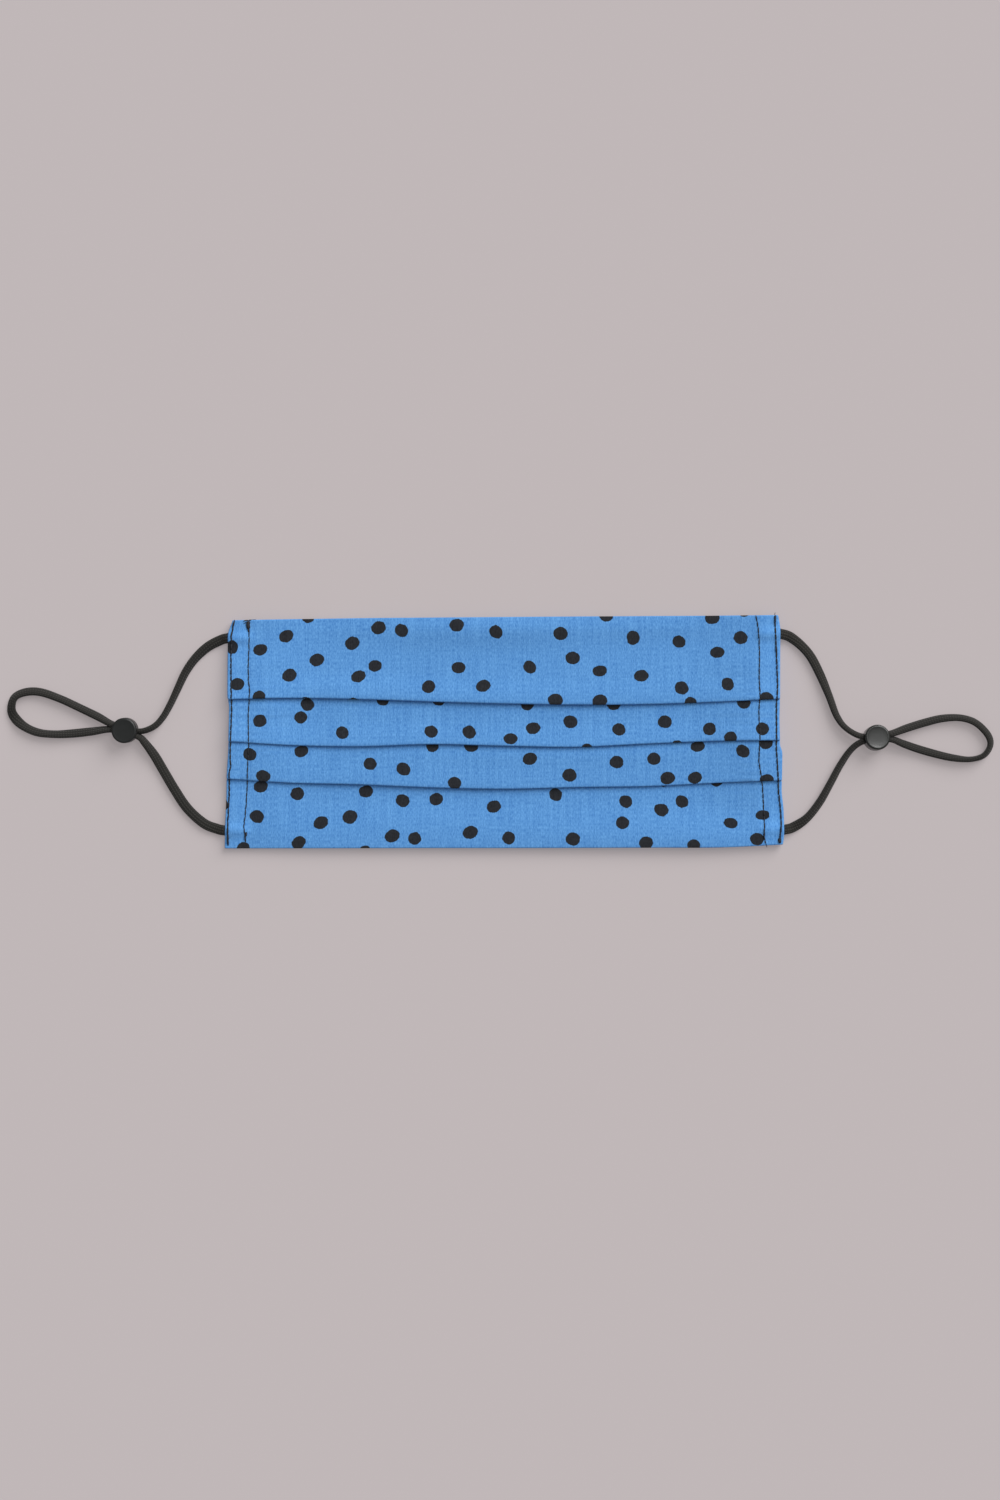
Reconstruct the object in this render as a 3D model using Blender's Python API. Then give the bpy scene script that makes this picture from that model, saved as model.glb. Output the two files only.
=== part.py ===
"""Pleated cloth face mask with elastic ear loops, lying flat.

Frame: metres, +X along the mask's long side, +Y towards its top edge, +Z up.
The origin is in the middle of the cloth, on the surface it lies on.
The cloth is one folded sheet with three knife pleats whose folds point down.
"""
import math
from collections import namedtuple

import bpy
import bmesh
from mathutils import Vector

for old in list(bpy.data.objects):
    bpy.data.objects.remove(old, do_unlink=True)

MM = 0.001

# Cloth
PANEL_WIDTH = 0.2042       # side edge to side edge, at the widest
PANEL_HEIGHT = 0.0850      # top edge to bottom edge, pleats closed
CLOTH = 0.0010             # thickness of the doubled cloth
PLY_GAP = 0.00035          # air between two folded layers
PLEAT_DEPTH = 0.0110       # from a pleat's fold to the hidden fold behind it
TOP_EASE = 0.0100          # run over which the top band settles down again
EASE_SHARE = 0.70          # share of the free run that the other bands take

# Side hems
HEM_WIDTH = 0.0086         # cloth turned under along each side
HEM_CLOTH = 0.0010
HEM_RAMP = 0.0140          # run over which the panel climbs onto a hem
CLEARANCE = 0.0003         # between pieces that touch

# Ear loops and cord locks
ELASTIC = 0.0028           # round equivalent of the soft flat elastic
LOCK_DIAMETER = 0.0092
LOCK_HEIGHT = 0.0066
LOCK_RIM = 0.0010          # radius of the rounded rims
LOCK_BORE = 0.0044
LOOP_STEP = 0.0060         # spacing of the loops' points

# Lines across the cloth: where each one runs, as a share of PANEL_HEIGHT
# above the middle, at five places from the left edge to the right edge.
FoldLine = namedtuple("FoldLine", "name left left_half middle right_half right")
FOLD_LINES = (
    FoldLine("top_edge", 0.478, 0.489, 0.493, 0.498, 0.500),
    FoldLine("pleat_1", 0.137, 0.140, 0.122, 0.119, 0.146),
    FoldLine("pleat_2", -0.038, -0.062, -0.057, -0.048, -0.036),
    FoldLine("pleat_3", -0.198, -0.228, -0.243, -0.233, -0.207),
    FoldLine("bottom_edge", -0.500, -0.499, -0.498, -0.497, -0.480),
)

# Side edges: share of PANEL_HEIGHT above the middle, and the edge's distance
# from the middle as a share of half PANEL_WIDTH.
EdgePoint = namedtuple("EdgePoint", "height reach")
LEFT_EDGE = (
    EdgePoint(-0.500, 1.000), EdgePoint(-0.388, 0.998), EdgePoint(-0.293, 0.994),
    EdgePoint(-0.195, 0.993), EdgePoint(-0.079, 0.986), EdgePoint(0.115, 0.983),
    EdgePoint(0.149, 0.989), EdgePoint(0.424, 0.988), EdgePoint(0.478, 0.971),
)
RIGHT_EDGE = (
    EdgePoint(-0.480, 0.995), EdgePoint(-0.459, 0.999), EdgePoint(-0.388, 1.000),
    EdgePoint(-0.328, 0.998), EdgePoint(-0.259, 0.991), EdgePoint(-0.083, 0.993),
    EdgePoint(-0.064, 0.984), EdgePoint(0.059, 0.982), EdgePoint(0.149, 0.984),
    EdgePoint(0.445, 0.986), EdgePoint(0.500, 0.979),
)

# Ear loops, in millimetres: how far a point lies outside the panel's widest
# line, its place up the mask, the elastic's thickness there as a share of
# ELASTIC, and its rise from lying flat (0) to the height of the lock's bore (1).
RoutePoint = namedtuple("RoutePoint", "out up thickness rise")
LEFT_LOOP = (
    RoutePoint(1.5, 33.4, 1.00, 0.08), RoutePoint(6.1, 30.8, 1.00, 0.00),
    RoutePoint(10.8, 26.6, 1.00, 0.00), RoutePoint(14.3, 21.5, 1.00, 0.00),
    RoutePoint(17.3, 15.3, 0.95, 0.00), RoutePoint(19.9, 10.0, 0.85, 0.00),
    RoutePoint(22.6, 5.2, 0.75, 0.20), RoutePoint(25.9, 1.9, 0.65, 0.65),
    RoutePoint(30.75, 0.15, 0.60, 1.00), RoutePoint(35.95, 1.47, 0.60, 1.00),
    RoutePoint(41.1, 2.80, 0.60, 1.00), RoutePoint(46.5, 5.3, 0.85, 0.35),
    RoutePoint(53.3, 8.8, 1.00, 0.00), RoutePoint(60.0, 11.9, 1.00, 0.00),
    RoutePoint(67.2, 14.4, 1.00, 0.00), RoutePoint(72.6, 14.4, 1.00, 0.00),
    RoutePoint(76.5, 12.4, 1.00, 0.00), RoutePoint(77.9, 8.6, 1.00, 0.00),
    RoutePoint(76.8, 5.2, 1.00, 0.00), RoutePoint(73.5, 1.7, 1.00, 0.00),
    RoutePoint(68.3, -0.6, 1.00, 0.00), RoutePoint(61.9, -1.2, 1.00, 0.00),
    RoutePoint(55.4, -0.8, 1.00, 0.00), RoutePoint(48.6, -0.3, 0.85, 0.25),
    RoutePoint(41.65, 0.85, 0.60, 1.00), RoutePoint(36.45, -0.47, 0.60, 1.00),
    RoutePoint(31.25, -1.81, 0.60, 1.00), RoutePoint(28.9, -4.2, 0.65, 0.70),
    RoutePoint(25.6, -8.7, 0.80, 0.20), RoutePoint(22.5, -14.0, 0.95, 0.00),
    RoutePoint(18.2, -21.3, 1.00, 0.00), RoutePoint(13.4, -28.0, 1.00, 0.00),
    RoutePoint(7.7, -33.4, 1.00, 0.00), RoutePoint(2.6, -35.6, 1.00, 0.05),
)
RIGHT_LOOP = (
    RoutePoint(2.1, 34.5, 1.00, 0.08), RoutePoint(6.3, 31.2, 1.00, 0.00),
    RoutePoint(9.8, 27.0, 1.00, 0.00), RoutePoint(13.2, 20.7, 1.00, 0.00),
    RoutePoint(16.3, 13.2, 0.95, 0.00), RoutePoint(19.4, 5.7, 0.80, 0.08),
    RoutePoint(22.9, 1.2, 0.70, 0.50), RoutePoint(28.08, -1.67, 0.60, 1.00),
    RoutePoint(33.41, -1.20, 0.60, 1.00), RoutePoint(38.74, -0.73, 0.60, 1.00),
    RoutePoint(45.0, 1.5, 0.85, 0.35), RoutePoint(51.6, 3.7, 1.00, 0.00),
    RoutePoint(58.0, 5.0, 1.00, 0.00), RoutePoint(64.5, 5.0, 1.00, 0.00),
    RoutePoint(69.8, 3.0, 1.00, 0.00), RoutePoint(73.9, -1.3, 1.00, 0.00),
    RoutePoint(75.0, -4.9, 1.00, 0.00), RoutePoint(72.9, -8.7, 1.00, 0.00),
    RoutePoint(68.0, -10.2, 1.00, 0.00), RoutePoint(61.8, -9.8, 1.00, 0.00),
    RoutePoint(55.4, -8.4, 1.00, 0.00), RoutePoint(48.9, -6.4, 1.00, 0.00),
    RoutePoint(43.5, -4.5, 0.80, 0.45), RoutePoint(38.92, -2.73, 0.60, 1.00),
    RoutePoint(33.59, -3.20, 0.60, 1.00), RoutePoint(28.26, -3.67, 0.60, 1.00),
    RoutePoint(24.4, -6.8, 0.72, 0.50), RoutePoint(20.4, -12.4, 0.88, 0.05),
    RoutePoint(16.8, -19.1, 1.00, 0.00), RoutePoint(12.9, -25.6, 1.00, 0.00),
    RoutePoint(8.3, -31.3, 1.00, 0.00), RoutePoint(3.4, -34.8, 1.00, 0.05),
)
LoopEnds = namedtuple("LoopEnds", "top bottom rise")
LEFT_ENDS = LoopEnds(34.1, -36.0, 0.10)
RIGHT_ENDS = LoopEnds(35.7, -35.7, 0.10)
# Cord locks: place outside the panel's widest line and up the mask, in
# millimetres, and the turn of the bore away from straight outwards.
LockPlace = namedtuple("LockPlace", "out up turn_deg")
LEFT_LOCK = LockPlace(36.2, 0.5, 14.55)
RIGHT_LOCK = LockPlace(33.5, -2.2, 5.04)

HALF_WIDTH = PANEL_WIDTH / 2
PITCH = CLOTH + PLY_GAP            # between the middles of two folded layers
TURN = PITCH / 2                   # radius of a fold, at the cloth's middle
TURN_REACH = CLOTH / 2 + TURN      # from a fold's outside to its centre
LOCK_BORE_Z = LOCK_HEIGHT / 2


def principled(name, colour, roughness, metallic=0.0):
    """A plain Principled material of its own for one piece."""
    material = bpy.data.materials.new(name)
    material.use_nodes = True
    shader = material.node_tree.nodes["Principled BSDF"]
    shader.inputs["Base Color"].default_value = (*colour, 1.0)
    shader.inputs["Roughness"].default_value = roughness
    shader.inputs["Metallic"].default_value = metallic
    material.diffuse_color = (*colour, 1.0)
    return material


def add_mesh(name, bm, material, smooth_deg=None):
    """Make a mesh object from bm, closed up and facing out."""
    bmesh.ops.recalc_face_normals(bm, faces=bm.faces)
    mesh = bpy.data.meshes.new(name)
    bm.to_mesh(mesh)
    bm.free()
    mesh.materials.append(material)
    if smooth_deg is not None:
        mesh.shade_smooth()
        mesh.set_sharp_from_angle(angle=math.radians(smooth_deg))
    obj = bpy.data.objects.new(name, mesh)
    bpy.context.scene.collection.objects.link(obj)
    return obj


def ease(t):
    """Smooth step from 0 to 1."""
    t = min(max(t, 0.0), 1.0)
    return t * t * (3.0 - 2.0 * t)


def line_height(line, across):
    """Height of a fold line or edge at across, -1 (left edge) to 1 (right)."""
    knots = list(line[1:])
    place = (min(max(across, -1.0), 1.0) + 1.0) / 2.0 * (len(knots) - 1)
    i = min(int(place), len(knots) - 2)
    t = place - i
    p1, p2 = knots[i], knots[i + 1]
    p0 = knots[i - 1] if i > 0 else 2 * p1 - p2
    p3 = knots[i + 2] if i + 2 < len(knots) else 2 * p2 - p1
    share = 0.5 * ((2 * p1) + (p2 - p0) * t + (2 * p0 - 5 * p1 + 4 * p2 - p3) * t * t
                   + (3 * p1 - p0 - 3 * p2 + p3) * t * t * t)
    return share * PANEL_HEIGHT


def edge_reach(points, y):
    """Distance of a side edge from the middle at height y."""
    height = y / PANEL_HEIGHT
    for low, high in zip(points, points[1:]):
        if height <= high.height:
            t = max(0.0, (height - low.height) / (high.height - low.height))
            return HALF_WIDTH * (low.reach + t * (high.reach - low.reach))
    return HALF_WIDTH * points[-1].reach


class Section:
    """The pleated cloth cut from top to bottom at one place across."""

    def __init__(self, across):
        heights = [line_height(line, across) for line in FOLD_LINES]
        self.top, self.bottom = heights[0], heights[-1]
        self.folds = heights[1:-1]
        self.turns = [f + TURN_REACH for f in self.folds]
        self.backs = [f + PLEAT_DEPTH - TURN_REACH for f in self.folds]
        self.lap_ends = [f + PLEAT_DEPTH for f in self.folds]
        self.eases = [self.lap_ends[0] + TOP_EASE]
        for upper, lower in zip(self.backs, self.lap_ends[1:]):
            self.eases.append(lower + EASE_SHARE * (upper - lower))

    def keys(self):
        return sorted([self.top, self.bottom] + self.turns + self.backs
                      + self.lap_ends + self.eases)

    def level(self, band, y):
        """Height of band's middle above the cloth's lowest layer."""
        if band == len(self.folds):
            return 0.0
        lap_end = self.lap_ends[band]
        if y <= lap_end:
            return self.level(band + 1, y) + 2 * PITCH
        run = self.eases[band] - lap_end
        start = self.level(band + 1, lap_end) + 2 * PITCH
        return start * (1.0 - ease((y - lap_end) / run))

    def visible_level(self, y):
        """Height of the uppermost band at y."""
        for band, (fold, turn) in enumerate(zip(self.folds, self.turns)):
            if y > fold:
                return self.level(band, max(y, turn))
        return self.level(len(self.folds), y)


MIDDLE = Section(0.0)
DIVISIONS = [max(1, math.ceil((high - low) / (2.8 * MM)))
             for low, high in zip(MIDDLE.keys(), MIDDLE.keys()[1:])]


def knots(section):
    """The same number of heights on every section, low to high."""
    keys = section.keys()
    heights = [keys[0]]
    for low, high, count in zip(keys, keys[1:], DIVISIONS):
        heights += [low + (high - low) * i / count for i in range(1, count + 1)]
    return heights


def cloth_path(section):
    """Points (y, z) along the cloth's middle, from the top edge down."""
    heights = knots(section)

    def run(low, high):
        return [y for y in heights if low - 1e-9 <= y <= high + 1e-9]

    path = []
    upper = section.top
    for band, (turn, back) in enumerate(zip(section.turns, section.backs)):
        path += [(y, section.level(band, y)) for y in reversed(run(turn, upper))]
        under = section.level(band + 1, turn)
        for degrees in (135, 180, 225):
            a = math.radians(degrees)
            path.append((turn + TURN * math.cos(a), under + 1.5 * PITCH + TURN * math.sin(a)))
        path += [(y, section.level(band + 1, y) + PITCH) for y in run(turn, back)]
        under = section.level(band + 1, back)
        for degrees in (45, 0, -45):
            a = math.radians(degrees)
            path.append((back + TURN * math.cos(a), under + 0.5 * PITCH + TURN * math.sin(a)))
        upper = back
    last = len(section.folds)
    path += [(y, section.level(last, y)) for y in reversed(run(section.bottom, upper))]
    return path


def hem_lift(distance):
    """How far the panel is raised over a hem, at a distance from its side."""
    return (HEM_CLOTH + CLEARANCE) * (1.0 - ease((distance - HEM_WIDTH) / HEM_RAMP))


def make_panel():
    """The pleated sheet, between the walls of the two side hems."""
    inset = HEM_CLOTH + CLEARANCE
    steps = [0.0, HEM_WIDTH * 0.5, HEM_WIDTH]
    steps += [HEM_WIDTH + HEM_RAMP * share for share in (0.25, 0.5, 0.75, 1.0)]
    reach = HALF_WIDTH - inset
    shares = [1.0 - step / reach for step in steps] + [0.62, 0.42, 0.21]
    acrosses = [-s for s in shares] + [0.0] + list(reversed(shares))
    bm = bmesh.new()
    rows = []
    for across in acrosses:
        row = []
        for y, z in cloth_path(Section(across)):
            left = -edge_reach(LEFT_EDGE, y) + inset
            right = edge_reach(RIGHT_EDGE, y) - inset
            x = left + (across + 1.0) / 2.0 * (right - left)
            lift = hem_lift((1.0 - abs(across)) * reach)
            row.append(bm.verts.new((x, y, CLOTH / 2 + lift + z)))
        rows.append(row)
    for near, far in zip(rows, rows[1:]):
        for i in range(len(near) - 1):
            bm.faces.new((near[i], near[i + 1], far[i + 1], far[i]))
    panel = add_mesh("pleated_panel", bm,
                     principled("panel_cotton", (0.105, 0.300, 0.640), 0.85), 50)
    solidify = panel.modifiers.new("cloth", "SOLIDIFY")
    solidify.thickness = CLOTH
    solidify.offset = 0.0
    solidify.use_even_offset = True
    return panel


def make_hem(name, points, side):
    """Cloth turned under one side: a flat strip with a wall at the edge.

    side is -1 on the left and 1 on the right.
    """
    section = Section(side)
    ledge = 0.15 * MM
    heights = set(knots(section))
    for fold, turn in zip(section.folds, section.turns):
        heights = {y for y in heights if not fold - ledge < y < turn - 1e-9}
        heights |= {fold - ledge, fold + ledge}
    rim = 0.35 * HEM_CLOTH
    bm = bmesh.new()
    rings = []
    for y in sorted(heights):
        edge = edge_reach(points, y)
        top = HEM_CLOTH + CLEARANCE + CLOTH + section.visible_level(y)
        outline = (
            (edge - HEM_WIDTH, 0.0), (edge, 0.0), (edge, top - rim), (edge - rim, top),
            (edge - HEM_CLOTH, top), (edge - HEM_CLOTH, HEM_CLOTH),
            (edge - HEM_WIDTH, HEM_CLOTH))
        rings.append([bm.verts.new((side * x, y, z)) for x, z in outline])
    for near, far in zip(rings, rings[1:]):
        for i in range(len(near)):
            j = (i + 1) % len(near)
            bm.faces.new((near[i], near[j], far[j], far[i]))
    bm.faces.new(rings[0])
    bm.faces.new(rings[-1])
    return add_mesh(name, bm, principled(name + "_cotton", (0.110, 0.305, 0.640), 0.85))


def smooth_point(p0, p1, p2, p3, t):
    """Point on the smooth curve between p1 and p2."""
    return 0.5 * ((2 * p1) + (p2 - p0) * t + (2 * p0 - 5 * p1 + 4 * p2 - p3) * t * t
                  + (3 * p1 - p0 - 3 * p2 + p3) * t * t * t)


def loop_points(route, ends, edge, side):
    """Points (x, y, z, thickness) along one ear loop, hem to hem."""
    radius = ELASTIC / 2
    full = []
    for up, near in ((ends.top, route[0]), (ends.bottom, route[-1])):
        heights = (up * MM - radius, up * MM, up * MM + radius)
        reach = max(edge_reach(edge, y) for y in heights) - HALF_WIDTH
        slant = math.atan2(abs(near.up - up), near.out - reach / MM)
        out = (reach + CLEARANCE + radius * math.sin(slant)) / MM
        full.append(RoutePoint(out, up, 1.0, ends.rise))
    full[1:1] = list(route)
    marks = []
    for point in full:
        resting = ELASTIC / 2 * point.thickness
        z = resting + point.rise * (LOCK_BORE_Z - resting)
        x = side * (HALF_WIDTH + point.out * MM)
        marks.append(Vector((x, point.up * MM, z, point.thickness)))
    marks = [2 * marks[0] - marks[1]] + marks + [2 * marks[-1] - marks[-2]]
    points = []
    for p0, p1, p2, p3 in zip(marks, marks[1:], marks[2:], marks[3:]):
        count = max(1, round((p2 - p1).xyz.length / LOOP_STEP))
        for i in range(count):
            points.append(smooth_point(p0, p1, p2, p3, i / count))
    points.append(marks[-2])
    return points


def make_loop(name, route, ends, edge, side):
    """Elastic ear loop: both strands run through the cord lock."""
    curve = bpy.data.curves.new(name, "CURVE")
    curve.dimensions = "3D"
    curve.bevel_depth = ELASTIC / 2
    curve.bevel_resolution = 2
    curve.use_fill_caps = True
    points = loop_points(route, ends, edge, side)
    spline = curve.splines.new("POLY")
    spline.points.add(len(points) - 1)
    for target, point in zip(spline.points, points):
        target.co = (point[0], point[1], point[2], 1.0)
        target.radius = point[3]
    curve.materials.append(principled(name + "_elastic", (0.022, 0.021, 0.019), 0.9))
    loop = bpy.data.objects.new(name, curve)
    bpy.context.scene.collection.objects.link(loop)
    return loop


def make_lock(name, place, side):
    """Cord lock: a short standing cylinder with a bore through its side."""
    radius = LOCK_DIAMETER / 2
    profile = [(0.0, 0.0)]
    for centre_z, start in ((LOCK_RIM, -90), (LOCK_HEIGHT - LOCK_RIM, 0)):
        for step in range(5):
            a = math.radians(start + step * 22.5)
            profile.append((radius - LOCK_RIM + LOCK_RIM * math.cos(a),
                            centre_z + LOCK_RIM * math.sin(a)))
    profile.append((0.0, LOCK_HEIGHT))
    bm = bmesh.new()
    verts = [bm.verts.new((x, 0.0, z)) for x, z in profile]
    edges = [bm.edges.new(pair) for pair in zip(verts, verts[1:])]
    bmesh.ops.spin(bm, geom=verts + edges, cent=(0, 0, 0), axis=(0, 0, 1),
                   angle=math.tau, steps=36)
    bmesh.ops.remove_doubles(bm, verts=bm.verts, dist=1e-6)
    lock = add_mesh(name, bm, principled(name + "_plastic", (0.018, 0.020, 0.019), 0.45), 40)

    cutter_bm = bmesh.new()
    bmesh.ops.create_cone(cutter_bm, cap_ends=True, segments=20, radius1=LOCK_BORE / 2,
                          radius2=LOCK_BORE / 2, depth=LOCK_DIAMETER * 2)
    cutter = add_mesh(name + "_bore_cutter", cutter_bm, lock.data.materials[0])
    cutter.rotation_euler = (0.0, math.radians(90), 0.0)
    cutter.location = (0.0, 0.0, LOCK_BORE_Z)
    cutter.parent = lock
    cutter.hide_render = True
    cutter.display_type = "WIRE"
    bore = lock.modifiers.new("bore", "BOOLEAN")
    bore.operation = "DIFFERENCE"
    bore.solver = "EXACT"
    bore.object = cutter

    lock.location = (side * (HALF_WIDTH + place.out * MM), place.up * MM, 0.0)
    lock.rotation_euler = (0.0, 0.0, side * math.radians(place.turn_deg))
    return lock


make_panel()
make_hem("side_hem_left", LEFT_EDGE, -1)
make_hem("side_hem_right", RIGHT_EDGE, 1)
make_loop("ear_loop_left", LEFT_LOOP, LEFT_ENDS, LEFT_EDGE, -1)
make_loop("ear_loop_right", RIGHT_LOOP, RIGHT_ENDS, RIGHT_EDGE, 1)
make_lock("cord_lock_left", LEFT_LOCK, -1)
make_lock("cord_lock_right", RIGHT_LOCK, 1)
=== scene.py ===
import math
from collections import namedtuple

import bpy
import bmesh
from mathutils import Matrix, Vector, noise
from mathutils.bvhtree import BVHTree


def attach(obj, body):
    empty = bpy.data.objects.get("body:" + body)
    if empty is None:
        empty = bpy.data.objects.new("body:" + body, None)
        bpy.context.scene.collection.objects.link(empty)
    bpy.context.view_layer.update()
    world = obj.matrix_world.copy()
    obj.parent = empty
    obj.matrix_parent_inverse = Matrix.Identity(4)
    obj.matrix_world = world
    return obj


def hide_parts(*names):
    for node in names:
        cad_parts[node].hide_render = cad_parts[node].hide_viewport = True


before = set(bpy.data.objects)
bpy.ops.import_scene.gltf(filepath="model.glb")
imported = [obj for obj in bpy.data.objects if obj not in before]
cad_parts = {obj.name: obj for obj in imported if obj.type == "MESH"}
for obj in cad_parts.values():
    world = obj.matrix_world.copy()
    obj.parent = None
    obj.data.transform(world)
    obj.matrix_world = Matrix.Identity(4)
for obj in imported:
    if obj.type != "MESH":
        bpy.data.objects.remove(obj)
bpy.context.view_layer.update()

# A pleated cotton face mask lying flat: dotted blue cloth folded into three
# knife pleats, side hems turned under, black seams, soft elastic ear loops
# and a round cord lock on each loop. Lengths in metres, tables in millimetres.

MM = 0.001

# The cloth
CLOTH = 0.42 * MM            # thickness of the doubled cotton
PLY = 0.50 * MM              # between the middles of two folded layers
PLEAT_DEPTH = 11.0 * MM
PUFF_REACH = 7.0 * MM        # how far up its band a front fold stands open
TURN = 0.32 * MM             # reach of a fold beyond the end of its layers
TURN_REACH = CLOTH / 2 + TURN
HEM_WIDTH = 7.4 * MM         # side hem, turned under
HEM_ROLL = 0.5 * MM          # how far the side fold bulges outwards
HEM_CORE = 0.95 * MM         # from the side fold's axis to the lowest layer
HEM_LIFT = 0.20 * MM         # from the surface to the hem's lowest layer
HEM_BLEND = 26.0 * MM        # how far in from the hem its height dies away
EDGE_TURN = 7.0 * MM         # top and bottom edges, turned under
EDGE_STEPS = 6               # faces under such an edge
FLOOR_GAP = 0.08 * MM        # the least that the cloth keeps off the surface
PANEL_LIFT = 1.75 * MM       # the pleats' lowest layer, over the surface
TOP_EASE = 16.5 * MM         # where the top band has come down, above its lap
LOWER_EASE = 0.95            # the same in the pleats below, as a share of the way
FOLD_PRESS = 0.75            # 1 leaves a fold round, less presses it flat
SIDE_PRESS = 0.55
THREAD_PITCH = 0.42 * MM     # from one thread of the weave to the next
CLOTH_SPACING = 1.0 * MM     # between the rows of the cloth's mesh
HEM_MIDDLE = 97.0 * MM       # where a side hem's folds are read

# Places across the mask where the lines below are read, from the left edge
# to the right edge, and each line's height above the middle there.
ACROSS = (-102.1, -76.6, -51.0, -25.5, 0.0, 25.5, 51.0, 76.6, 102.1)
TOP_EDGE = (40.6, 41.1, 41.5, 41.7, 41.9, 42.1, 42.25, 42.4, 42.6)
PLEATS = (
    (11.6, 12.2, 11.8, 10.9, 10.2, 9.8, 10.0, 10.9, 12.2),
    (-3.2, -4.9, -5.4, -4.6, -5.2, -5.6, -4.4, -3.4, -3.1),
    (-16.8, -18.6, -19.3, -20.4, -20.9, -20.3, -19.9, -18.6, -17.6),
)
PUFFS = (                    # how far each front fold stands open, along it
    (0.30, 0.62, 0.74, 0.78, 0.80, 0.76, 0.60, 0.30, 0.08),
    (0.10, 0.34, 0.62, 0.70, 0.66, 0.54, 0.50, 0.34, 0.08),
    (0.06, 0.42, 0.66, 0.68, 0.60, 0.46, 0.32, 0.24, 0.06),
)
BOTTOM_EDGE = (-42.6, -42.55, -42.5, -42.45, -42.45, -42.4, -42.3, -42.2, -40.9)

# Side edges: (height, distance from the middle).
LEFT_EDGE = ((-42.5, 102.1), (-33.0, 101.9), (-24.9, 101.5), (-16.6, 101.4), (-6.7, 100.7),
             (9.8, 100.4), (12.7, 101.0), (24.4, 101.0), (36.0, 100.9), (40.6, 99.1))
RIGHT_EDGE = ((-40.8, 101.6), (-39.0, 102.0), (-33.0, 102.1), (-27.9, 101.9), (-22.0, 101.2),
              (-7.0, 101.4), (-5.4, 100.5), (5.0, 100.3), (12.7, 100.5), (37.9, 100.7),
              (42.6, 99.9))

# Seams: (height, distance from the middle), top to bottom.
LEFT_OUTER = ((40.7, 98.4), (34.9, 99.5), (24.3, 99.6), (12.3, 99.4), (9.0, 99.3), (2.1, 99.5),
              (-3.4, 99.7), (-7.8, 99.9), (-12.5, 99.7), (-15.4, 100.3), (-21.6, 100.3),
              (-27.8, 100.6), (-33.0, 100.85), (-41.6, 100.75))
LEFT_INNER = ((40.9, 93.2), (33.5, 93.0), (24.3, 93.3), (18.9, 93.2), (14.9, 92.7), (6.1, 93.3),
              (-4.9, 93.1), (-11.8, 93.5), (-20.2, 93.8), (-27.1, 94.2), (-31.1, 94.6),
              (-34.4, 95.0), (-37.7, 94.6), (-40.3, 94.5))
RIGHT_INNER = ((42.4, 91.7), (38.2, 92.5), (32.7, 92.9), (28.0, 93.0), (20.0, 92.8), (13.4, 93.1),
               (7.2, 92.7), (-3.0, 93.1), (-10.7, 92.7), (-15.4, 93.5), (-20.2, 94.2),
               (-23.8, 94.4), (-34.1, 94.9), (-37.7, 94.6), (-40.6, 95.2))
RIGHT_OUTER = ((42.6, 98.7), (38.6, 98.7), (32.7, 99.0), (28.0, 99.2), (16.7, 99.5), (12.7, 99.3),
               (10.1, 99.1), (-6.3, 99.1), (-10.7, 99.4), (-16.9, 99.8), (-22.0, 100.0),
               (-27.8, 100.7), (-33.0, 101.0), (-39.5, 100.4))

# Where the elastics are sewn into the hems: (side, height).
EXITS = ((-1, 34.1), (-1, -36.0), (1, 35.7), (1, -35.7))
ENDS_REACH = 9.5 * MM        # how far into the hem the elastic's end shows
ENDS_FADE = 3.5 * MM
ENDS_RISE = 0.85 * MM
ENDS_HALF_WIDTH = 1.9 * MM
STITCH_PITCH = 2.6 * MM
STITCH_SHARE = 0.86          # what a stitch takes of its full length, on average
STITCH_SWAY = 0.22 * MM      # how far it leans off the seam
SEAM_DENT = 0.16 * MM        # how deep the thread draws the cloth in
SEAM_DENT_WIDTH = 0.7 * MM

# Soft unevenness of the cloth: (x, y, half length, half height, rise).
MOUNDS = (
    (-8.0, 37.6, 46.0, 6.2, 1.55),
    (62.0, 38.8, 30.0, 5.0, 0.40),
    (-5.0, 15.0, 60.0, 6.5, 0.55),
    (70.0, 17.0, 34.0, 6.0, 0.40),
    (-70.0, 15.5, 26.0, 6.0, 0.40),
    (-25.0, -33.0, 50.0, 6.0, 0.32),
    (62.0, -39.0, 42.0, 8.0, 0.75),
    (-60.0, 2.0, 30.0, 5.0, 0.20),
    (20.0, -9.0, 55.0, 4.0, 0.20),
)

# Finer ripples: rise, how often they come along and up the mask, and a seed.
RIPPLES = ((0.14, 0.022, 0.060, 3.1), (0.07, 0.075, 0.11, 8.4))

# The printed dots: band they lie on (0 the top one), place, tilt of the long
# side in degrees, long and short half axes in millimetres. They were charted
# on the photograph, band by band: middle across and down in its pixels,
# tilt, and half axes in tenths of a pixel.
Dot = namedtuple("Dot", "band x y tilt long short")
PIXEL = 0.365                # millimetres that a pixel of the photograph covers
MIDDLE_ACROSS, MIDDLE_DOWN = 504.4, 731.7      # the mask's middle, in its pixels


def dot(band, across, down, tilt, wide, high):
    """A charted dot at its real place and size."""
    return Dot(band, (across - MIDDLE_ACROSS) * PIXEL, (MIDDLE_DOWN - down) * PIXEL, tilt,
               wide * PIXEL / 10, high * PIXEL / 10)


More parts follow.
